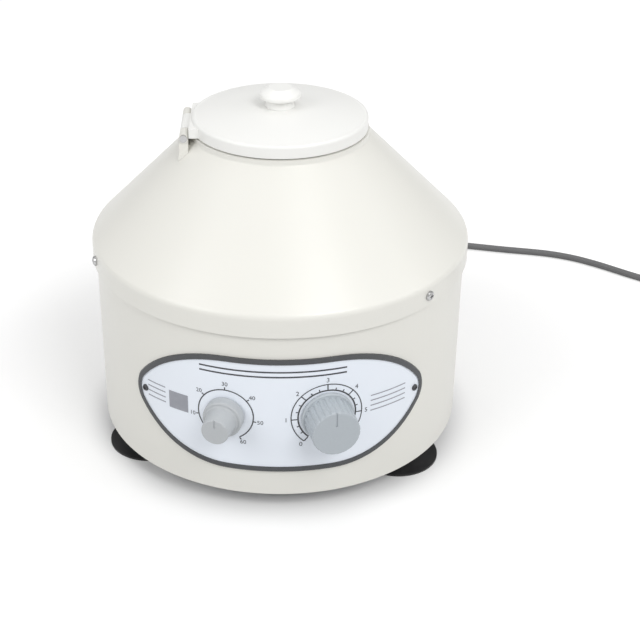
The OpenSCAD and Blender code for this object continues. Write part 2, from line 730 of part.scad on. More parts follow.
module rotor_head() {
    drop = rotor_plate_t / cos(tube_tilt);
    color([0.62, 0.63, 0.65]) difference() {
        union() {
            rotate_extrude() polygon([[shaft_r + fit_gap, hub_z], [rotor_hub_r, hub_z],
                [rotor_hub_r, rotor_top(rotor_hub_r) - drop],
                [rotor_plate_r, rotor_top(rotor_plate_r) - drop],
                [rotor_plate_r + 1.5, rotor_top(rotor_plate_r) - drop / 2],
                [rotor_plate_r, rotor_top(rotor_plate_r)],
                [rotor_hub_r, rotor_top(rotor_hub_r)], [rotor_hub_r, hub_top_z],
                [shaft_r + fit_gap, hub_top_z]]);
            turned([for (a = sleeve_turns) a + 30]) translate([0, rib_w / 2, 0])
                rotate([90, 0, 0]) linear_extrude(rib_w) polygon([
                    [rotor_hub_r - 1, hub_z + 6],
                    [rotor_hub_r - 1, rotor_top(rotor_hub_r - 1) - drop + 1],
                    [mouth_r + 8, rotor_top(mouth_r + 8) - drop + 1],
                    [mouth_r + 8, rotor_top(mouth_r + 8) - drop - 4]]);
        }
        for (a = sleeve_turns) {
            sleeve_at(a, sleeve_collar_t + rotor_plate_t * 3)
                cylinder(r = sleeve_r + seat_gap, h = rotor_plate_t * 6);
            sleeve_at(a, sleeve_collar_t)
                cylinder(r = sleeve_collar_r + free_gap, h = rotor_plate_t * 2);
        }
    }
}

module rotor_nut() {
    color("silver") translate([0, 0, hub_top_z]) difference() {
        cylinder(r = rotor_nut_r, h = rotor_nut_h, $fn = 6);
        translate([0, 0, -cut]) cylinder(r = shaft_r + fit_gap, h = rotor_nut_h + 2 * cut);
    }
}

module tube_sleeve(turn) {
    collar_z = sleeve_l - sleeve_collar_t;
    color("lightsteelblue") sleeve_at(turn, sleeve_l) difference() {
        rotate_extrude() polygon(concat([[0, 0]],
            arc_points([sleeve_r - 7, 7], 7, -90, 0, 6),
            [[sleeve_r, collar_z], [sleeve_collar_r, collar_z],
            [sleeve_collar_r, sleeve_l], [0, sleeve_l]]));
        translate([0, 0, sleeve_floor_t]) cylinder(r = cushion_pocket_r, h = sleeve_l);
        translate([0, 0, sleeve_floor_t + cushion_t]) cylinder(r = sleeve_bore_r, h = sleeve_l);
    }
}

module sleeve_cushions() {
    color([0.2, 0.2, 0.2]) for (a = sleeve_turns) sleeve_at(a, sleeve_l - sleeve_floor_t)
        cylinder(r = cushion_pocket_r - 0.3, h = cushion_t - seat_gap);
}

module motor_shaft() {
    color("silver") translate([0, 0, shaft_z]) cylinder(r = shaft_r, h = shaft_top_z - shaft_z);
}

module armature() {
    color([0.5, 0.35, 0.25]) {
        translate([0, 0, core_z]) washer(armature_r, shaft_r + fit_gap, core_l);
        for (z = [core_z - winding_h, core_z + core_l]) translate([0, 0, z])
            washer(armature_r - 5, shaft_r + fit_gap, winding_h);
        translate([0, 0, commutator_z]) washer(commutator_r, shaft_r + fit_gap, commutator_l);
    }
}

module motor_case() {
    color("gray") difference() {
        translate([0, 0, case_z]) washer(motor_r, stator_r, motor_case_h);
        turned([90, 270]) translate([0, -motor_r, brush_z])
            cube([brush_h + 2 * seat_gap, 8, brush_h + 2 * seat_gap], center = true);
    }
}

module lower_bell() {
    color("darkgray") difference() {
        translate([0, 0, motor_z]) cylinder(r = motor_r, h = lower_bell_h);
        translate([0, 0, motor_z + lower_bell_h - bearing_h - seat_gap])
            cylinder(r = bearing_r + fit_gap, h = lower_bell_h);
        translate([0, 0, motor_z + 0.8]) cylinder(r = shaft_r + free_gap, h = lower_bell_h);
        mount_places(motor_screw_circle_r) translate([0, 0, motor_z - cut])
            cylinder(r = motor_screw_r + fit_gap, h = motor_screw_grip + cut + free_gap);
    }
}

module upper_bell() {
    color("darkgray") difference() {
        union() {
            translate([0, 0, case_top_z]) cylinder(r = motor_r, h = upper_bell_t);
            translate([0, 0, case_top_z]) cylinder(r = boss_r, h = boss_top_z - case_top_z);
        }
        translate([0, 0, case_top_z - cut]) cylinder(r = shaft_r + free_gap, h = drum_h);
        translate([0, 0, boss_top_z - bearing_h - seat_gap])
            cylinder(r = bearing_r + fit_gap, h = bearing_h + cut);
    }
}

module stator() {
    color("dimgray") translate([0, 0, core_z]) difference() {
        union() {
            washer(stator_r - fit_gap, yoke_in, core_l);
            intersection() {
                translate([-pole_w / 2, -yoke_in - 2, 0]) cube([pole_w, 2 * yoke_in + 4, core_l]);
                cylinder(r = stator_r - 2, h = core_l);
            }
        }
        translate([0, 0, -cut]) cylinder(r = stator_in, h = core_l + 2 * cut);
    }
}

// Field winding above and below each pole
module field_coils() {
    color([0.7, 0.4, 0.2]) for (y = [-1, 1], z = [core_z - winding_h, core_z + core_l])
        translate([-pole_w / 2, y * (stator_in + yoke_in) / 2 - 3, z])
            cube([pole_w, 6, winding_h]);
}

module motor_bearings() {
    color("silver") for (top = [motor_z + lower_bell_h, boss_top_z])
        translate([0, 0, top - bearing_h - seat_gap]) washer(bearing_r, shaft_r + fit_gap, bearing_h);
}

module brush_holders() {
    color([0.25, 0.2, 0.15]) for (a = [90, 270]) out_at(a, commutator_r + 2, brush_z)
        difference() {
            translate([-brush_h / 2, -brush_h / 2, 0])
                cube([brush_h, brush_h, motor_r - commutator_r + 2]);
            translate([-brush_w / 2 - seat_gap, -brush_w / 2 - seat_gap, -cut])
                cube([brush_w + 2 * seat_gap, brush_w + 2 * seat_gap, motor_r - commutator_r]);
        }
}

module carbon_brushes() {
    color([0.2, 0.2, 0.2]) for (a = [90, 270]) out_at(a, commutator_r + 0.3, brush_z)
        translate([-brush_w / 2, -brush_w / 2, 0]) cube([brush_w, brush_w, 14]);
}

module motor_plate() {
    color("gray") translate([0, 0, motor_plate_z]) difference() {
        cylinder(r = mount_circle_r + mount_r + 2, h = motor_plate_t);
        mount_places(mount_circle_r) translate([0, 0, -cut])
            cylinder(r = mount_screw_r + fit_gap, h = motor_plate_t + 2 * cut);
        mount_places(motor_screw_circle_r) translate([0, 0, -cut])
            cylinder(r = motor_screw_r + fit_gap, h = motor_plate_t + 2 * cut);
    }
}

module rubber_mounts() {
    color([0.15, 0.15, 0.16]) mount_places(mount_circle_r) translate([0, 0, drum_z])
        rotate_extrude() polygon([[mount_screw_r + fit_gap, 0], [mount_r, 0],
            [mount_r * 0.82, mount_h / 2], [mount_r, mount_h], [mount_screw_r + fit_gap, mount_h]]);
}

module mount_screws() {
    color("silver") mount_places(mount_circle_r) translate([0, 0, motor_z])
        pan_screw(mount_screw_r, motor_plate_t + mount_h + base_plate_t, 4.8, 3);
}

module motor_screws() {
    color("silver") mount_places(motor_screw_circle_r) translate([0, 0, motor_plate_z])
        mirror([0, 0, 1])
            pan_screw(motor_screw_r, motor_plate_t + motor_screw_grip, motor_screw_r * 1.9, 2.4);
}

// Slab of the panel's outline, wrapped on the drum between two radii
module panel_slab(inset, r_in, r_out) {
    intersection() {
        translate([0, 0, panel_z]) rotate([90, 0, 0]) linear_extrude(r_out + cut)
            polygon([for (p = panel_outline(inset)) wrapped(p)]);
        translate([0, 0, panel_z - panel_half_h - cut])
            washer(r_out, r_in, 2 * (panel_half_h + cut));
    }
}

module control_panel() {
    color([0.91, 0.93, 0.98]) difference() {
        panel_slab(border_w + seat_gap, drum_r, panel_r);
        for (a = [-timer_angle, speed_angle]) out_at(a, drum_r - cut * 2, knob_z)
            cylinder(r = bush_r + fit_gap, h = panel_t + cut * 4);
        for (s = [-1, 1]) out_at(s * panel_screw_angle, drum_r - cut, panel_z)
            cylinder(r = panel_screw_r + fit_gap, h = panel_t + 2 * cut);
    }
}

module panel_border() {
    color([0.3, 0.31, 0.33]) difference() {
        panel_slab(0, drum_r, drum_r + border_t);
        translate([0, 0, panel_z]) rotate([90, 0, 0]) linear_extrude(drum_r * 2)
            polygon([for (p = panel_outline(border_w)) wrapped(p)]);
    }
}

module panel_screws() {
    color([0.35, 0.35, 0.37]) for (s = [-1, 1]) out_at(s * panel_screw_angle, panel_r, panel_z)
        pan_screw(panel_screw_r, panel_t + drum_wall + 2, 2.3, 1.4);
}

// Threaded bush through the wall, on a shoulder that meets the wall's inside
module control_bush() {
    translate([0, 0, -cut]) cylinder(r = bush_shoulder_r, h = shoulder_face_r - control_face_r + cut);
    translate([0, 0, -cut]) cylinder(r = bush_r, h = bush_out_r - control_face_r + cut);
}

module timer_unit() {
    color("whitesmoke") out_at(-timer_angle, control_face_r, knob_z) difference() {
        union() {
            translate([-timer_case_w / 2, -timer_case_w / 2, -timer_case_d])
                cube([timer_case_w, timer_case_w, timer_case_d]);
            control_bush();
        }
        translate([0, 0, -timer_case_d / 2]) cylinder(r = control_shaft_r + fit_gap, h = timer_case_d);
    }
}

module speed_control() {
    color([0.2, 0.3, 0.5]) out_at(speed_angle, control_face_r, knob_z) difference() {
        union() {
            translate([0, 0, -pot_d]) cylinder(r = pot_r, h = pot_d);
            translate([-pot_r * 0.8, -pot_r - 5, -pot_d / 2]) cube([pot_r * 1.6, pot_r, 1.5]);
            control_bush();
        }
        translate([0, 0, -pot_d / 2]) cylinder(r = control_shaft_r + fit_gap, h = timer_case_d);
    }
}

module control_shaft(angle, depth) {
    color("silver") out_at(angle, control_face_r - depth + seat_gap, knob_z)
        cylinder(r = control_shaft_r, h = shaft_out_r - control_face_r + depth);
}

module timer_shaft() {
    control_shaft(-timer_angle, timer_case_d / 2);
}

module speed_shaft() {
    control_shaft(speed_angle, pot_d / 2);
}

// Hollow at a knob's back, for the bush and its nut, and the blind hole for the shaft
module knob_hollow() {
    translate([0, 0, -cut]) cylinder(r = nut_well_r, h = nut_well_h + cut);
    translate([0, 0, -cut]) cylinder(r = control_shaft_r + fit_gap,
        h = shaft_out_r - knob_back_r + seat_gap + cut);
}

module timer_knob() {
    step = knob_h * 0.34;
    color([0.74, 0.75, 0.74]) out_at(-timer_angle, knob_back_r, knob_z) difference() {
        rotate_extrude() polygon(concat(
            [[0, 0], [timer_base_r, 0]],
            arc_points([timer_base_r - 1.5, step - 1.5], 1.5, 0, 80, 4),
            arc_points([timer_grip_r + 2.5, step + 1.4], 1.5, 260, 190, 4),
            arc_points([timer_grip_r - 0.9, knob_h - 0.9], 0.9, 0, 90, 4),
            [[0, knob_h]]));
        knob_hollow();
        translate([-pointer_w / 2, timer_grip_r * 0.35, knob_h - 0.5])
            cube([pointer_w, timer_grip_r, 1]);
    }
}

module speed_knob() {
    flange_h = 2.2;
    color([0.69, 0.72, 0.75]) out_at(speed_angle, knob_back_r, knob_z) difference() {
        rotate_extrude() polygon(concat(
            [[0, 0], [speed_base_r, 0], [speed_base_r, flange_h - 0.8],
            [speed_base_r - 0.8, flange_h], [speed_grip_r, flange_h]],
            arc_points([speed_grip_r - 1.2, knob_h - 1], 1, 0, 90, 5),
            [[0, knob_h]]));
        knob_hollow();
        for (i = [0:flute_count - 1]) rotate([0, 0, i * 360 / flute_count])
            translate([0, speed_grip_r + flute_r * 0.45, flange_h + 1])
                cylinder(r = flute_r, h = knob_h, $fn = 24);
        translate([-pointer_w / 2, speed_grip_r * 0.35, knob_h - 0.5])
            cube([pointer_w, speed_grip_r, 1]);
    }
}

module control_nuts() {
    color("silver") for (a = [-timer_angle, speed_angle]) out_at(a, panel_r + fit_gap, knob_z)
        difference() {
            cylinder(r = nut_across_r, h = nut_t, $fn = 6);
            translate([0, 0, -cut]) cylinder(r = bush_r + fit_gap, h = nut_t + 2 * cut);
        }
}

module on_board(x, y) {
    rotate([0, 0, board_turn]) translate([x, y - board_r, drum_z + post_h]) children();
}

module circuit_board() {
    color("darkgreen") on_board(-board_size[0] / 2, -board_size[1] / 2) cube(board_size);
}

module board_parts() {
    top = board_size[2];
    color("black") {
        on_board(-heat_sink[0] / 2 - capacitor_r, 0) translate([0, 0, top])
            cylinder(r = capacitor_r, h = capacitor_h);
        on_board(-heat_sink[0] / 2 + part_gap, part_gap) translate([0, 0, top]) cube(heat_sink);
        on_board(part_gap, -relay[1] - part_gap) translate([0, 0, top]) cube(relay);
        on_board(-rectifier[0] - part_gap, -rectifier[1] - part_gap) translate([0, 0, top])
            cube(rectifier);
    }
}

module fuse_holder() {
    color([0.1, 0.1, 0.1]) out_at(fuse_angle, drum_r + seat_gap, inlet_z) {
        cylinder(r = fuse_flange_r, h = 2);
        translate([0, 0, -fuse_body_l]) cylinder(r = fuse_body_r, h = fuse_body_l + cut);
        difference() {
            cylinder(r = fuse_cap_r, h = fuse_cap_l);
            translate([-fuse_cap_r, -0.8, fuse_cap_l - 1.5]) cube([2 * fuse_cap_r, 1.6, 2]);
        }
    }
}

// Tapered rubber sleeve that is gripped by the drum's wall in a groove
module strain_relief() {
    neck = relief_inner_l - 1.5;
    flange = relief_inner_l + drum_wall + 2 * seat_gap + 0.8;
    tip = relief_inner_l + drum_wall + relief_l;
    color([0.13, 0.13, 0.14]) out_at(cord_angle, drum_in - relief_inner_l, inlet_z)
        rotate_extrude() polygon([[0, 0], [relief_r + 1.5, 0], [relief_r + 1.5, neck],
            [relief_r, neck], [relief_r, flange], [relief_r + 1.6, flange],
            [relief_r + 1.6, flange + 2.2], [relief_r - 0.6, flange + 3.2],
            [relief_tip_r, tip], [0, tip]]);
}

module power_cord() {
    color([0.35, 0.35, 0.36]) swept_tube(cord_points, cord_r, cord_sides);
}

// Plain ring with the straight tail that ends in the plug
module cord_coil() {
    low = cord_r;
    high = coil_h - cord_r;
    color([0.35, 0.35, 0.36]) {
        translate([coil_x, coil_y, 0]) rotate_extrude() polygon(concat(
            arc_points([coil_in_r + cord_r, low], cord_r, 180, 270, 5),
            arc_points([coil_out_r - cord_r, low], cord_r, 270, 360, 5),
            arc_points([coil_out_r - cord_r, high], cord_r, 0, 90, 5),
            arc_points([coil_in_r + cord_r, high], cord_r, 90, 180, 5)));
        translate([coil_tail_x, coil_y, plug_end[2]]) rotate([90, 0, 0])
            cylinder(r = cord_r, h = plug_lead);
    }
}

// Puts a piece at the middle of the plug's face, with the pins pointing along -Y
module at_plug_face() {
    translate([plug_end[0], plug_end[1] - plug_boot_l - plug_body[1], plug_mid_z]) children();
}

module plug() {
    color([0.13, 0.13, 0.14]) difference() {
        union() {
            hull() {
                translate(plug_end) rotate([90, 0, 0])
                    cylinder(r = cord_r + 1.4, h = 1, $fn = 32);
                translate([plug_end[0], plug_end[1] - plug_boot_l + 1, plug_mid_z])
                    rotate([90, 0, 0]) cylinder(r = plug_boot_r, h = 1, $fn = 32);
            }
            hull() for (x = [-1, 1], z = [-1, 1])
                at_plug_face() translate([x * (plug_body[0] / 2 - plug_round), plug_body[1],
                    z * (plug_body[2] / 2 - plug_round)])
                    rotate([90, 0, 0]) cylinder(r = plug_round, h = plug_body[1], $fn = 32);
        }
        pins(seat_gap);
    }
}

// Two flat blades above a round earth pin, rooted in the plug's body
module pins(grow) {
    at_plug_face() {
        for (x = [-1, 1])
            translate([x * blade_gap / 2 - blade[0] / 2 - grow, -blade[1], 1 - grow])
                cube([blade[0] + 2 * grow, blade[1] + pin_root + grow, blade[2] + 2 * grow]);
        translate([0, pin_root + grow, -plug_body[2] / 4]) rotate([90, 0, 0])
            cylinder(r = earth_pin_r + grow, h = earth_pin_l + pin_root + grow);
    }
}

module plug_pins() {
    color("silver") pins(0);
}

drum_housing();
base_plate();
base_screws();
foot(foot_angle - 120);  // front_left_foot
foot(foot_angle);  // front_right_foot
foot(foot_angle + 120);  // rear_foot
foot_screws();
top_cover();
cover_screws();
cover_nuts();
hinge_bracket();
hinge_pin();
hinge_screws();
lid();
lid_gasket();
lid_knob();
lid_knob_screw();
chamber_bowl();
shaft_seal();
rotor_head();
rotor_nut();
tube_sleeve(sleeve_turns[0]);  // tube_sleeve_1
tube_sleeve(sleeve_turns[1]);  // tube_sleeve_2
tube_sleeve(sleeve_turns[2]);  // tube_sleeve_3
tube_sleeve(sleeve_turns[3]);  // tube_sleeve_4
tube_sleeve(sleeve_turns[4]);  // tube_sleeve_5
tube_sleeve(sleeve_turns[5]);  // tube_sleeve_6
sleeve_cushions();
motor_shaft();
armature();
motor_case();
lower_bell();
upper_bell();
stator();
field_coils();
motor_bearings();
brush_holders();
carbon_brushes();
motor_plate();
rubber_mounts();
mount_screws();
motor_screws();
control_panel();
panel_border();
panel_screws();
timer_unit();
timer_shaft();
timer_knob();
speed_control();
speed_shaft();
speed_knob();
control_nuts();
circuit_board();
board_parts();
fuse_holder();
strain_relief();
power_cord();
cord_coil();
plug();
plug_pins();
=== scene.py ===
import math

import bpy
import numpy as np
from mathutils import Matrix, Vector


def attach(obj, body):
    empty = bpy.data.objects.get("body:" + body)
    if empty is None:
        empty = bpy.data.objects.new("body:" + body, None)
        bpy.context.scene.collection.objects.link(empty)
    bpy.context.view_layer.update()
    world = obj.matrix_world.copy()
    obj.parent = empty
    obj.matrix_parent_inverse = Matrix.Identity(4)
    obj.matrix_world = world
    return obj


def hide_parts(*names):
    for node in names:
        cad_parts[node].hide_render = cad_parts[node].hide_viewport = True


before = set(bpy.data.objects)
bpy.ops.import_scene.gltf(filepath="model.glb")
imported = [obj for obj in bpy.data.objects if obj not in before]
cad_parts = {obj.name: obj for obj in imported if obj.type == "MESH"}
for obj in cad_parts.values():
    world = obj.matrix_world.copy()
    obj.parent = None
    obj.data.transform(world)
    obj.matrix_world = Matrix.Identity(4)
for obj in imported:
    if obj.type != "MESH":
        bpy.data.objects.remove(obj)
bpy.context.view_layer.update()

# The photograph's viewpoint: a long lens above the front of the bench, a metre from the
# machine, which stands left of the picture's middle.
view = bpy.data.cameras.new("view")
view.sensor_width = 36.0
view.lens = 77.85
view.shift_x = 0.0623
view.clip_start = 0.05
view.clip_end = 20.0
eye = Vector((0.0, -0.86863, 0.56968))
aim = Vector((0.0, 0.0, 0.07422))
camera = bpy.data.objects.new("view", view)
camera.location = eye
camera.rotation_mode = "QUATERNION"
camera.rotation_quaternion = (aim - eye).to_track_quat("-Z", "Y")
bpy.context.scene.collection.objects.link(camera)
bpy.context.scene.camera = camera

# Power cord: round grey PVC flex, 5.6 mm thick. It drops from the strain relief to the bench,
# runs off to the right, and the rest is wound into a flat coil that ends in the plug.
CORD_R = 0.0028
COIL_X, COIL_Y, COIL_R, COIL_PITCH, COIL_TURNS = 0.356, 0.134, 0.0407, 0.0061, 5.25
COIL_LOW, COIL_HIGH, PLUG_LEAD = 0.0028, 0.0091, 0.032
RELIEF_ANGLE, RELIEF_Z = math.radians(160.0), 0.038
WALL_R, RELIEF_L = 0.1276, 0.0295
SPLINE_CUTS = 12


class Wire:
    """One output in a material's nodes. Arithmetic on wires and numbers adds Math nodes."""

    def __init__(self, tree, socket=None):
        self.tree, self.socket = tree, socket

    def add(self, kind, settings=None, inputs=None, out=0):
        """Adds a node. settings are the node's own properties and inputs are its sockets."""
        node = self.tree.nodes.new(kind)
        for name, value in (settings or {}).items():
            setattr(node, name, value)
        for name, value in (inputs or {}).items():
            if isinstance(value, Wire):
                self.tree.links.new(value.socket, node.inputs[name])
            elif isinstance(value, (tuple, list)) and len(value) == 3 \
                    and len(node.inputs[name].default_value) == 4:
                node.inputs[name].default_value = (*value, 1.0)
            else:
                node.inputs[name].default_value = value
        return Wire(self.tree, node.outputs[out])

    def sum_of(self, operation, first, second):
        """One Math node on two wires or numbers."""
        return self.add("ShaderNodeMath", {"operation": operation}, {0: first, 1: second})

    def __add__(self, other):
        return self.sum_of("ADD", self, other)

    def __radd__(self, other):
        return self.sum_of("ADD", other, self)

    def __mul__(self, other):
        return self.sum_of("MULTIPLY", self, other)

    def __rmul__(self, other):
        return self.sum_of("MULTIPLY", other, self)

    def blend(self, low, high):
        """Colour that goes from low to high as this value goes from 0 to 1."""
        return self.add("ShaderNodeMix", {"data_type": "RGBA"}, {0: self, 6: low, 7: high}, out=2)


def finish(name, metal=0.0, coat=0.0, coat_rough=0.1, specular=0.5):
    """New material with one shader; gives the material, the shader and the object's own place."""
    material = bpy.data.materials.new(name)
    material.use_nodes = True
    tree = material.node_tree
    tree.nodes.clear()
    end = tree.nodes.new("ShaderNodeOutputMaterial")
    shader = tree.nodes.new("ShaderNodeBsdfPrincipled")
    shader.inputs["Metallic"].default_value = metal
    shader.inputs["Coat Weight"].default_value = coat
    shader.inputs["Coat Roughness"].default_value = coat_rough
    shader.inputs["Specular IOR Level"].default_value = specular
    tree.links.new(shader.outputs[0], end.inputs["Surface"])
    place = Wire(tree).add("ShaderNodeTexCoord", out="Object")
    return material, shader, place


def noise(place, scale, detail=2.0, rough=0.5):
    """Cloudy value from 0 to 1 with scale lumps to the metre."""
    return place.add("ShaderNodeTexNoise", {}, {"Vector": place, "Scale": scale,
                     "Detail": detail, "Roughness": rough}, out="Fac")


def stretched(place, scale):
    """The same place, squeezed by scale along X, Y and Z."""
    return place.add("ShaderNodeVectorMath", {"operation": "MULTIPLY"}, {0: place, 1: scale})


def wire_up(shader, **ends):
    """Joins wires to the shader's sockets, and a height to its normal through a Bump node."""
    tree = shader.id_data
    for name, wire in ends.items():
        if name == "height":
            value, depth = wire
            bump = value.add("ShaderNodeBump", {}, {"Height": value, "Distance": depth,
                             "Strength": 1.0})
            tree.links.new(bump.socket, shader.inputs["Normal"])
        else:
            tree.links.new(wire.socket, shader.inputs[name.replace("_", " ").title()])


def dress(material, *names):
    """Gives CAD nodes a material."""
    for name in names:
        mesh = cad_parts[name].data
        mesh.materials.clear()
        mesh.materials.append(material)


def grid_mesh(name, points, material, close_v=False, cap=False):
    """Mesh of a grid of points, rows along u and columns round v. cap closes both end rows."""
    rows, cols = points.shape[:2]
    index = np.arange(rows * cols).reshape(rows, cols)
    a, b = index[:-1], index[1:]
    if close_v:
        quads = np.stack([a, b, np.roll(b, -1, 1), np.roll(a, -1, 1)], -1)
    else:
        quads = np.stack([a[:, :-1], b[:, :-1], b[:, 1:], a[:, 1:]], -1)
    faces = quads.reshape(-1, 4).tolist()
    if cap:
        faces += [index[0].tolist(), index[-1][::-1].tolist()]
    mesh = bpy.data.meshes.new(name)
    mesh.from_pydata(points.reshape(-1, 3).tolist(), [], faces)
    mesh.shade_smooth()
    mesh.materials.append(material)
    piece = bpy.data.objects.new(name, mesh)
    bpy.context.scene.collection.objects.link(piece)
    return piece


def smooth_path(points, step):
    """Centripetal spline through the points, then cut into equal steps along its length."""
    p = np.asarray(points, float)
    p = np.vstack([2 * p[0] - p[1], p, 2 * p[-1] - p[-2]])
    t = np.concatenate([[0], np.cumsum(np.linalg.norm(np.diff(p, axis=0), axis=1) ** 0.5)])

    def between(i, j, x, first, last):
        """Value at x on the straight way from first at knot i to last at knot j."""
        return (t[j] - x) / (t[j] - t[i]) * first + (x - t[i]) / (t[j] - t[i]) * last

    out = []
    for i in range(1, len(p) - 2):
        x = np.linspace(t[i], t[i + 1], SPLINE_CUTS, endpoint=False)[:, None]
        a1 = between(i - 1, i, x, p[i - 1], p[i])
        a2 = between(i, i + 1, x, p[i], p[i + 1])
        a3 = between(i + 1, i + 2, x, p[i + 1], p[i + 2])
        b1 = between(i - 1, i + 1, x, a1, a2)
        b2 = between(i, i + 2, x, a2, a3)
        out.append(between(i, i + 1, x, b1, b2))
    line = np.vstack(out + [p[-2:-1]])
    run = np.concatenate([[0], np.cumsum(np.linalg.norm(np.diff(line, axis=0), axis=1))])
    even = np.linspace(0, run[-1], max(int(run[-1] / step), 2) + 1)
    return np.stack([np.interp(even, run, line[:, k]) for k in range(3)], 1)


def ring_mesh(name, path, along, radius, sides, material):
    """Closed rings of sides points, square to along at the path, level with the bench."""
    across = np.cross([0.0, 0.0, 1.0], along)
    across /= np.linalg.norm(across, axis=1, keepdims=True)
    above = np.cross(along, across)
    turn = np.linspace(0, 2 * np.pi, sides, endpoint=False)
    ring = np.cos(turn)[None, :, None] * above[:, None] \
        + np.sin(turn)[None, :, None] * across[:, None]
    points = path[:, None] + np.reshape(radius, (-1, 1, 1)) * ring
    return grid_mesh(name, points, material, close_v=True, cap=True)


def tube(name, path, radius, sides, material):
    """Circle carried along the path."""
    along = np.gradient(path, axis=0)
    along /= np.linalg.norm(along, axis=1, keepdims=True)
    return ring_mesh(name, path, along, radius, sides, material)


out_dir = np.array([math.sin(RELIEF_ANGLE), -math.cos(RELIEF_ANGLE), 0.0])
relief_tip = out_dir * (WALL_R + RELIEF_L) + [0, 0, RELIEF_Z]
free_run = np.array([
    (60.5, 168, 37), (64, 179.5, 35), (68, 191.5, 31.5), (72.5, 203.5, 27), (77.6, 215, 22),
    (83.5, 226, 17), (90.5, 236.5, 12.4), (99, 246.5, 8.4), (109, 255.5, 5.2), (120.5, 262, 3.3),
    (134, 265.8, 2.8), (151, 265.5, 2.8), (168.5, 262.6, 2.8), (184.8, 258.8, 2.8),
    (200, 255.2, 2.8), (214, 252.3, 2.8), (227.5, 249.6, 2.8), (240.6, 246.4, 2.8),
    (253, 242, 2.8), (265, 236.2, 2.8), (276, 229.3, 2.8), (287, 221.3, 2.8),
    (297, 213.2, 2.8), (307, 205.2, 2.8), (317, 197.8, 2.8), (328, 190.8, 2.8),
    (339, 184.6, 2.8), (350.4, 180.5, 2.8)]) / 1000
# The winding spirals in on the bench, climbs at its middle and spirals out on top of itself.
turns = np.linspace(0.03, COIL_TURNS, 126)
half = COIL_TURNS / 2
coil_r = COIL_R - COIL_PITCH * (half - np.abs(turns - half))
coil_a = np.radians(90 - 360 * turns)
coil_z = COIL_LOW + (COIL_HIGH - COIL_LOW) * np.clip((turns - half) * 2 + 0.5, 0, 1)
coil = np.stack([COIL_X + coil_r * np.cos(coil_a), COIL_Y + coil_r * np.sin(coil_a), coil_z], 1)
plug_lead = [(COIL_X + COIL_R, COIL_Y - PLUG_LEAD * k / 4, COIL_HIGH) for k in range(1, 5)]
STRAIGHT_OUT, CORD_STEP, CORD_SIDES = 0.008, 0.0022, 20
cord_path = smooth_path(np.vstack([relief_tip, relief_tip + out_dir * STRAIGHT_OUT, free_run,
                                   coil, plug_lead]), CORD_STEP)

sheath, shader, place = finish("cord_sheath", specular=0.4)
scuff = noise(place, 60, 3)
wire_up(shader, base_color=scuff.blend((0.14, 0.14, 0.143), (0.19, 0.19, 0.193)),
        roughness=0.42 + scuff * 0.16, height=(noise(place, 1400, 2), 0.00003))
power_flex = tube("power_flex", cord_path, CORD_R, CORD_SIDES, sheath)
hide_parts("power_cord", "cord_coil")
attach(power_flex, "base")

# Plug and its pins: a moulded black plug with a soft boot and a finger waist, two flat blades
# and an earth pin of nickel-plated brass. It lies beside the coil. Its section goes from the
# cord's circle to a rounded square, ahead being 0 at the cord and 1 at the face.
black_rubber, shader, place = finish("moulded_black", specular=0.4)
dust = noise(place, 90, 4, 0.6)
wire_up(shader, base_color=dust.blend((0.012, 0.012, 0.013), (0.035, 0.035, 0.036)),
        roughness=0.42 + dust * 0.2, height=(noise(place, 1800, 2), 0.00004))
PLUG_L, BOOT_R, BOOT_END, PLUG_MID_Z = 0.0499, 0.0042, 0.3, 0.0122
ahead = np.linspace(0, 1, 41)[:, None]
boot = BOOT_R + 0.0031 * np.clip(ahead / BOOT_END, 0, 1)
body = np.clip((ahead - BOOT_END) / 0.1, 0, 1)
body = body * body * (3 - 2 * body)
waist = np.exp(-((ahead - 0.62) / 0.13) ** 2)
end = np.clip((ahead - 0.965) / 0.035, 0, 1) ** 2
wide = boot + 0.0061 * body - 0.0012 * waist - 0.0008 * end
high = boot + 0.0046 * body - 0.0006 * waist - 0.0008 * end
square = 1 - 0.5 * body
mid_z = COIL_HIGH + (PLUG_MID_Z - COIL_HIGH) * np.clip(ahead / 0.36, 0, 1)
turn = np.linspace(0, 2 * np.pi, 48, endpoint=False)[None]
lump_x = np.sign(np.sin(turn)) * np.abs(np.sin(turn)) ** square
lump_z = np.sign(np.cos(turn)) * np.abs(np.cos(turn)) ** square
plug_y = np.broadcast_to(COIL_Y - PLUG_LEAD - PLUG_L * ahead, lump_x.shape)
plug_points = np.stack([COIL_X + COIL_R + wide * lump_x, plug_y, mid_z + high * lump_z], -1)
plug = grid_mesh("moulded_plug", plug_points, black_rubber, close_v=True, cap=True)
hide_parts("plug")
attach(plug, "base")
pin_metal, shader, place = finish("pin_metal", metal=1.0)
draw = noise(stretched(place, (900, 60, 900)), 1.0, 3)
wire_up(shader, base_color=draw.blend((0.62, 0.58, 0.48), (0.78, 0.74, 0.64)),
        roughness=0.22 + draw * 0.16)
dress(pin_metal, "plug_pins")

# Strain relief: a black rubber sleeve snapped into the wall, with a collar outside and a
# ribbed tail, made straight here along the cord's way out. Its outline is turned about the cord's
# way out, in mm along it and from it, with two close points at each corner so that the shading
# stays crisp.
RELIEF_INSIDE, RELIEF_SIDES, EASE = 0.0075, 40, 0.00012
RIBS, RIB_GAP, RIB_DEPTH = 5, 4.4, 1.0
outline = [(0, 7.9), (4.5, 7.9), (4.5, 6.4), (8.5, 6.4), (8.5, 8.0), (10.7, 8.0), (11.7, 5.8)]
for k in range(RIBS):
    rib_r, start = 5.7 - 0.24 * k, 13.4 + RIB_GAP * k
    outline += [(start, rib_r), (start + 0.4, rib_r - RIB_DEPTH),
                (start + 2.0, rib_r - RIB_DEPTH - 0.05), (start + 2.4, rib_r - 0.1)]
outline = np.array(outline + [(37.0, 4.4)]) / 1000
steps = np.diff(outline, axis=0)
steps /= np.linalg.norm(steps, axis=1, keepdims=True)
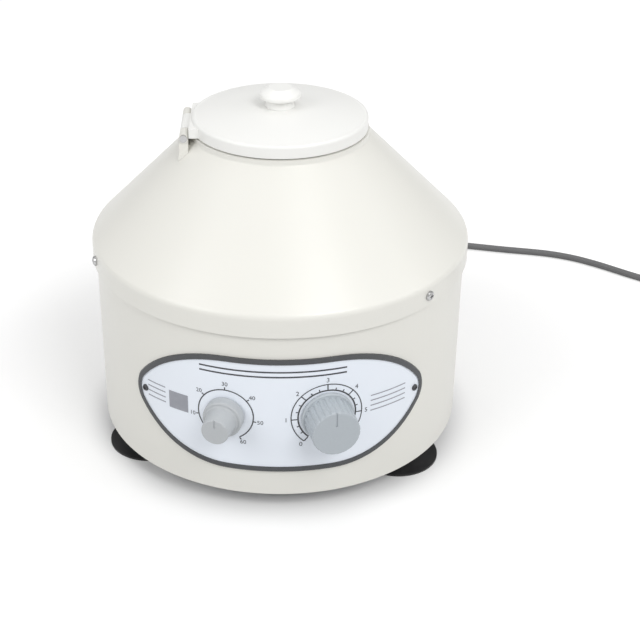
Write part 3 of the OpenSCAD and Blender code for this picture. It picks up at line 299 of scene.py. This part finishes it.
corners = np.stack([outline[1:-1] - EASE * steps[:-1], outline[1:-1] + EASE * steps[1:]], 1)
held = np.vstack([outline[:1], corners.reshape(-1, 2), outline[-1:]])
axis = out_dir * (WALL_R - RELIEF_INSIDE) + [0, 0, RELIEF_Z] + held[:, :1] * out_dir
relief = ring_mesh("ribbed_relief", axis, np.repeat(out_dir[None], len(axis), 0), held[:, 1],
                   RELIEF_SIDES, black_rubber)
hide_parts("strain_relief")
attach(relief, "base")

# Bench top: a plain white sweep, seen as white by the camera and by shiny surfaces. It keeps
# the machine's soft shadow, and glows only outside the machine's footprint: each ring of glow
# starts and is full at a distance from the middle, in metres, and adds its gain. The glow held
# back under and round the machine is painted shade: it makes the floor there darker than the
# lamps' shadow alone would.
white_top = bpy.data.materials.new("bench_top")
white_top.use_nodes = True
tree = white_top.node_tree
tree.nodes.clear()
bench = Wire(tree)
ray = tree.nodes.new("ShaderNodeLightPath")
seen = bench.add("ShaderNodeMath", {"operation": "MAXIMUM"},
                 {0: Wire(tree, ray.outputs["Is Camera Ray"]),
                  1: Wire(tree, ray.outputs["Is Glossy Ray"])})
seen = bench.add("ShaderNodeMath", {"operation": "MAXIMUM"},
                 {0: seen, 1: Wire(tree, ray.outputs["Is Transmission Ray"])})
plain = bench.add("ShaderNodeBsdfDiffuse", {}, {"Color": (0.55, 0.55, 0.55)})
white = bench.add("ShaderNodeBsdfDiffuse", {}, {"Color": (0.85, 0.85, 0.85)})
flat = bench.add("ShaderNodeVectorMath", {"operation": "MULTIPLY"},
                 {0: bench.add("ShaderNodeTexCoord", out="Object"), 1: (1, 1, 0)})
away = bench.add("ShaderNodeVectorMath", {"operation": "LENGTH"}, {0: flat}, out="Value")
# Weak or no glow near the middle is painted shade under and beside the machine.
GLOW_AND_PAINTED_SHADE_RINGS = ((0.118, 0.148, 0.15), (0.16, 0.45, 0.22), (1.0, 3.0, 0.4))
glow_and_painted_shade = sum(bench.add("ShaderNodeMapRange", {"interpolation_type": "SMOOTHSTEP"},
                         {"Value": away, "From Min": start, "From Max": full, "To Max": gain})
               for start, full, gain in GLOW_AND_PAINTED_SHADE_RINGS)
glow = bench.add("ShaderNodeEmission", {}, {"Color": (1.0, 1.0, 1.0), "Strength": glow_and_painted_shade})
lit = bench.add("ShaderNodeAddShader", {}, {0: white, 1: glow})
shown = bench.add("ShaderNodeMixShader", {}, {0: seen, 1: plain, 2: lit})
end = tree.nodes.new("ShaderNodeOutputMaterial")
tree.links.new(shown.socket, end.inputs["Surface"])
BENCH_HALF, BENCH_LINES = 3.0, 9
span = np.linspace(-BENCH_HALF, BENCH_HALF, BENCH_LINES)
bench_x, bench_y = np.meshgrid(span, span, indexing="ij")
floor_points = np.stack([bench_x, bench_y, np.zeros_like(bench_x)], -1)
floor = grid_mesh("bench", floor_points, white_top)

# Studio light: a white room, a broad soft lamp at the front right above, and weaker ones at
# the left, at the right and overhead.
world = bpy.data.worlds.new("room")
bpy.context.scene.world = world
world.use_nodes = True
world.node_tree.nodes["Background"].inputs["Color"].default_value = (1.0, 1.0, 1.0, 1.0)
world.node_tree.nodes["Background"].inputs["Strength"].default_value = 0.5
bpy.context.scene.view_settings.view_transform = "Standard"
LIT_MIDDLE = (0.0, 0.0, 0.1)


def lamp(name, spot, size, power):
    """Square soft lamp at spot that faces the machine's middle."""
    light = bpy.data.lights.new(name, "AREA")
    light.size = size
    light.energy = power
    holder = bpy.data.objects.new(name, light)
    holder.location = spot
    holder.rotation_mode = "QUATERNION"
    holder.rotation_quaternion = (Vector(LIT_MIDDLE) - Vector(spot)).to_track_quat("-Z", "Y")
    bpy.context.scene.collection.objects.link(holder)


lamp("key_lamp", (0.72, -1.28, 1.5), 0.9, 15.0)
lamp("fill_lamp", (-1.4, -1.0, 1.2), 1.2, 12.5)
lamp("side_lamp", (1.7, -0.3, 0.9), 0.9, 5.0)
lamp("top_lamp", (0.0, 0.3, 1.9), 1.4, 5.5)

# Drum and top cover: deep-drawn and rolled sheet steel in a warm off-white powder coat, with
# the faint ripple and satin gloss that such a coat has.
cream, shader, place = finish("cream_powder_coat", coat=0.25, coat_rough=0.22)
cloud = noise(place, 9, 2)
wire_up(shader, base_color=cloud.blend((0.775, 0.767, 0.717), (0.80, 0.792, 0.745)),
        roughness=0.34 + noise(place, 40, 3) * 0.1,
        height=(noise(place, 420, 2, 0.4), 0.00005))
dress(cream, "drum_housing", "top_cover", "hinge_bracket")

# Lid, its tab and its knob: injection-moulded white plastic.
lid_white, shader, place = finish("lid_white", specular=0.5)
cloud = noise(place, 14, 2)
wire_up(shader, base_color=cloud.blend((0.86, 0.86, 0.835), (0.88, 0.88, 0.86)),
        roughness=0.30 + noise(place, 50, 3) * 0.1,
        height=(noise(place, 900, 2, 0.4), 0.00003))
dress(lid_white, "lid", "lid_knob")

# Feet: black rubber suction cups, smooth, with a little dust on them.
dress(black_rubber, "front_left_foot", "front_right_foot", "rear_foot")

# Seals, cushions and mounts: moulded dark rubber.
dark_rubber, shader, place = finish("dark_rubber", specular=0.35)
dust = noise(place, 120, 4, 0.6)
wire_up(shader, base_color=dust.blend((0.025, 0.025, 0.027), (0.06, 0.06, 0.062)),
        roughness=0.55 + dust * 0.2, height=(noise(place, 1500, 2), 0.00005))
dress(dark_rubber, "lid_gasket", "shaft_seal", "sleeve_cushions", "rubber_mounts")

# Base plate, brackets and nuts: zinc-plated sheet steel with its faint spangle.
zinc, shader, place = finish("zinc_sheet", metal=1.0)
spangle = place.add("ShaderNodeTexVoronoi", {}, {"Vector": place, "Scale": 160.0}, out="Color")
spangle = place.add("ShaderNodeSeparateColor", {}, {0: spangle}, out=0)
wire_up(shader, base_color=spangle.blend((0.52, 0.53, 0.54), (0.62, 0.63, 0.64)),
        roughness=0.34 + spangle * 0.12, height=(noise(place, 600, 2), 0.00003))
dress(zinc, "base_plate", "motor_plate", "cover_nuts", "control_nuts")

# Screws, pins and shafts: bright zinc plate or ground steel, with fine turning marks.
bright, shader, place = finish("bright_steel", metal=1.0)
mark = noise(place, 700, 3)
wire_up(shader, base_color=mark.blend((0.42, 0.42, 0.42), (0.56, 0.56, 0.56)),
        roughness=0.26 + mark * 0.16, height=(mark, 0.00002))
dress(bright, "base_screws", "foot_screws", "cover_screws", "hinge_screws", "lid_knob_screw",
      "mount_screws", "motor_screws", "rotor_nut", "hinge_pin", "motor_shaft",
      "motor_bearings", "timer_shaft", "speed_shaft")
dark_screw, shader, place = finish("dark_screw", metal=0.6)
mark = noise(place, 900, 3)
wire_up(shader, base_color=mark.blend((0.05, 0.05, 0.055), (0.10, 0.10, 0.105)),
        roughness=0.38 + mark * 0.15)
dress(dark_screw, "panel_screws")

# Chamber bowl: spun aluminium, with fine rings about the spindle.
spun, shader, place = finish("spun_aluminium", metal=1.0)
flat = place.add("ShaderNodeVectorMath", {"operation": "MULTIPLY"}, {0: place, 1: (1, 1, 0)})
radius = place.add("ShaderNodeVectorMath", {"operation": "LENGTH"}, {0: flat}, out="Value")
rings = noise(place.add("ShaderNodeCombineXYZ", {}, {0: radius * 900.0}), 1.0, 4, 0.6)
wire_up(shader, base_color=rings.blend((0.60, 0.61, 0.62), (0.74, 0.75, 0.76)),
        roughness=0.28 + rings * 0.16, height=(rings, 0.00002))
dress(spun, "chamber_bowl")

# Rotor head and motor bells: cast and turned aluminium, fine sandy skin.
cast, shader, place = finish("cast_aluminium", metal=1.0)
sand = noise(place, 1100, 3, 0.6)
wire_up(shader, base_color=sand.blend((0.50, 0.51, 0.52), (0.63, 0.64, 0.65)),
        roughness=0.38 + sand * 0.18, height=(sand, 0.00006))
dress(cast, "rotor_head", "lower_bell", "upper_bell")

# Tube sleeves: drawn aluminium with lengthwise satin marks.
sleeve_metal, shader, place = finish("drawn_aluminium", metal=1.0)
satin = noise(stretched(place, (700, 700, 60)), 1.0, 3)
wire_up(shader, base_color=satin.blend((0.62, 0.64, 0.67), (0.74, 0.76, 0.79)),
        roughness=0.28 + satin * 0.15)
dress(sleeve_metal, *["tube_sleeve_%d" % i for i in range(1, 7)])

# Motor: laminated cores, a painted case, varnished copper windings and carbon brushes.
core, shader, place = finish("laminated_core", metal=0.5)
sheets = noise(stretched(place, (20, 20, 2000)), 1.0, 1)
wire_up(shader, base_color=sheets.blend((0.09, 0.085, 0.08), (0.20, 0.19, 0.18)),
        roughness=0.45 + sheets * 0.2)
dress(core, "armature", "stator")
case_paint, shader, place = finish("motor_paint", coat=0.1)
speck = noise(place, 300, 3)
wire_up(shader, base_color=speck.blend((0.10, 0.105, 0.115), (0.15, 0.155, 0.165)),
        roughness=0.4 + speck * 0.15, height=(speck, 0.00004))
dress(case_paint, "motor_case")
copper, shader, place = finish("copper_winding", metal=0.7, coat=0.3)
strands = noise(stretched(place, (120, 1600, 1600)), 1.0, 2)
wire_up(shader, base_color=strands.blend((0.30, 0.11, 0.04), (0.58, 0.26, 0.10)),
        roughness=0.3 + strands * 0.2, height=(strands, 0.0001))
dress(copper, "field_coils")
bakelite, shader, place = finish("bakelite", specular=0.5)
fleck = noise(place, 500, 3)
wire_up(shader, base_color=fleck.blend((0.012, 0.011, 0.010), (0.035, 0.03, 0.028)),
        roughness=0.3 + fleck * 0.2)
dress(bakelite, "brush_holders", "fuse_holder", "carbon_brushes", "board_parts")

# Control panel: a thin plate in pale blue film, held by two dark screws in a raised, dark
# grey border that follows the drum.
film, shader, place = finish("panel_film", coat=0.15, coat_rough=0.15)
haze = noise(place, 25, 2)
wire_up(shader, base_color=haze.blend((0.835, 0.885, 0.96), (0.86, 0.905, 0.975)),
        roughness=0.32 + haze * 0.08, height=(noise(place, 1200, 2), 0.00002))
dress(film, "control_panel")
edge_grey, shader, place = finish("border_grey", specular=0.45)
grain = noise(place, 900, 3)
wire_up(shader, base_color=grain.blend((0.055, 0.058, 0.062), (0.085, 0.088, 0.094)),
        roughness=0.38 + grain * 0.15, height=(grain, 0.00003))
dress(edge_grey, "panel_border")

# Controls behind the panel: a moulded timer case, a blue potentiometer and the circuit board.
case_white, shader, place = finish("timer_case", specular=0.45)
grain = noise(place, 700, 3)
wire_up(shader, base_color=grain.blend((0.66, 0.66, 0.63), (0.74, 0.74, 0.71)),
        roughness=0.4 + grain * 0.15)
dress(case_white, "timer_unit")
case_blue, shader, place = finish("control_blue", specular=0.5)
grain = noise(place, 700, 3)
wire_up(shader, base_color=grain.blend((0.02, 0.04, 0.12), (0.04, 0.07, 0.18)),
        roughness=0.35 + grain * 0.15)
dress(case_blue, "speed_control")
mask_green, shader, place = finish("solder_mask", coat=0.3)
tracks = noise(place, 180, 3)
wire_up(shader, base_color=tracks.blend((0.01, 0.07, 0.03), (0.03, 0.15, 0.07)),
        roughness=0.35 + tracks * 0.1)
dress(mask_green, "circuit_board")

# Knobs: moulded blue-grey plastic, the speed control's a little darker and bluer.
pale_grey, shader, place = finish("light_grey_plastic", specular=0.45)
grain = noise(place, 800, 3)
wire_up(shader, base_color=grain.blend((0.46, 0.482, 0.50), (0.50, 0.522, 0.54)),
        roughness=0.38 + grain * 0.14, height=(grain, 0.00003))
dress(pale_grey, "timer_knob")
blue_grey, shader, place = finish("blue_grey_plastic", specular=0.45)
grain = noise(place, 800, 3)
wire_up(shader, base_color=grain.blend((0.43, 0.468, 0.502), (0.47, 0.512, 0.548)),
        roughness=0.38 + grain * 0.14, height=(grain, 0.00003))
dress(blue_grey, "speed_knob")

# Print on the panel: plain scales round both knobs, two rules for a heading, a block and four
# fine rules at each end, in dark and pale grey ink on the film, curved with the drum.
FILM_R, INK_LIFT = 0.12866, 0.00006
ink, shader, place = finish("panel_ink", specular=0.3)
fade = noise(place, 300, 3)
wire_up(shader, base_color=fade.blend((0.05, 0.052, 0.058), (0.09, 0.092, 0.10)),
        roughness=0.5 + fade * 0.1)
pale_ink, shader, place = finish("panel_pale_ink", specular=0.3)
fade = noise(place, 300, 3)
wire_up(shader, base_color=fade.blend((0.30, 0.31, 0.35), (0.37, 0.38, 0.42)),
        roughness=0.5 + fade * 0.1)


class Print:
    """Flat ink gathered on the developed wall, s round the drum and z up, then bent to it."""

    def __init__(self):
        self.points, self.faces, self.count = [], [], 0

    def patch(self, s, z):
        """Grid of ink from two arrays of the same shape, s growing along the columns."""
        rows, cols = s.shape
        index = np.arange(rows * cols).reshape(rows, cols) + self.count
        quads = np.stack([index[:-1, :-1], index[:-1, 1:], index[1:, 1:], index[1:, :-1]], -1)
        self.faces += quads.reshape(-1, 4).tolist()
        self.points.append(np.stack([s.ravel(), z.ravel()], 1))
        self.count += s.size

    def rule(self, s0, s1, z0, z1):
        """Plain bar between two corners."""
        s, z = np.meshgrid(np.linspace(s0, s1, max(int((s1 - s0) / 0.002), 2)),
                           np.array([z0, z1]))
        self.patch(s, z)

    def arc(self, s, z, r0, r1, a0, a1):
        """Band between two radii about (s, z), from angle a0 to a1, clockwise from the top."""
        turn = np.radians(np.linspace(a0, a1, max(int(abs(a1 - a0) / 3), 2)))
        r = np.array([r0, r1])[:, None]
        self.patch(s + r * np.sin(turn), z + r * np.cos(turn))

    def word(self, text, s, z, size):
        """Plain figures, centred on (s, z)."""
        curve = bpy.data.curves.new(text, "FONT")
        curve.body = text
        curve.size = size
        curve.align_x, curve.align_y = "CENTER", "CENTER"
        curve.resolution_u = 4
        holder = bpy.data.objects.new(text, curve)
        bpy.context.scene.collection.objects.link(holder)
        mesh = holder.evaluated_get(bpy.context.evaluated_depsgraph_get()).to_mesh()
        flat = np.array([v.co[:2] for v in mesh.vertices]) + [s, z]
        self.faces += [[i + self.count for i in p.vertices] for p in mesh.polygons]
        self.points.append(flat)
        self.count += len(flat)
        bpy.data.objects.remove(holder)
        bpy.data.curves.remove(curve)

    def ticks(self, s, z, half, inner, outers, width):
        """Even ticks about (s, z), from half degrees left of the top to half right of it."""
        for a, outer in zip(np.linspace(-half, half, len(outers)), outers):
            self.arc(s, z, inner, outer, a - width, a + width)

    def figures(self, s, z, half, words, wide, high, size):
        """Words on the oval with the half axes wide and high, spread as ticks are."""
        for a, text in zip(np.radians(np.linspace(-half, half, len(words))), words):
            self.word(text, s + wide * math.sin(a), z + high * math.cos(a), size)

    def made(self, name, material):
        """Bends the ink round the drum, makes it a piece and gives it its material."""
        p = np.vstack(self.points)
        turn = p[:, 0] / WALL_R
        ink_r = FILM_R + INK_LIFT
        bent = np.stack([ink_r * np.sin(turn), -ink_r * np.cos(turn), p[:, 1]], 1)
        mesh = bpy.data.meshes.new(name)
        mesh.from_pydata(bent.tolist(), [], self.faces)
        mesh.materials.append(material)
        piece = bpy.data.objects.new(name, mesh)
        bpy.context.scene.collection.objects.link(piece)
        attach(piece, "base")


TIMER_S, SPEED_S, KNOB_Z = -0.0356, 0.0305, 0.0748
TIMER_HALF, SPEED_HALF = 150.0, 140.0
scale = Print()
scale.arc(TIMER_S, KNOB_Z, 0.0181, 0.0189, -TIMER_HALF, TIMER_HALF)
scale.ticks(TIMER_S, KNOB_Z, TIMER_HALF, 0.0189, [0.0206] * 7, 1.1)
scale.figures(TIMER_S, KNOB_Z, TIMER_HALF, [str(10 * i) for i in range(7)], 0.0232, 0.0228, 0.0042)
scale.made("timer_scale", ink)
scale = Print()
scale.arc(SPEED_S, KNOB_Z, 0.0232, 0.0239, -SPEED_HALF, SPEED_HALF)
scale.arc(SPEED_S, KNOB_Z, 0.0186, 0.0196, -SPEED_HALF, SPEED_HALF)
scale.ticks(SPEED_S, KNOB_Z, SPEED_HALF, 0.0196,
            [0.0210 if i % 3 else 0.0232 for i in range(19)], 1.0)
scale.figures(SPEED_S, KNOB_Z, SPEED_HALF, [str(i) for i in range(7)], 0.0268, 0.0266, 0.0046)
scale.made("speed_scale", ink)
RULE_LEVELS, RULE_HALF = (0.0718, 0.0756, 0.0794, 0.0832), 0.0004
marks = Print()
marks.rule(-0.0765, -0.0618, 0.0695, 0.0825)
for z in RULE_LEVELS:
    marks.rule(-0.0950, -0.0795, z - RULE_HALF, z + RULE_HALF)
    marks.rule(0.0605, 0.0885, z - RULE_HALF, z + RULE_HALF)
marks.made("panel_blocks", pale_ink)
HEADING = (-0.0526, 0.0429)
rules = Print()
rules.rule(*HEADING, 0.1088, 0.1099)
rules.rule(*HEADING, 0.1052, 0.1063)
rules.made("panel_rules", ink)
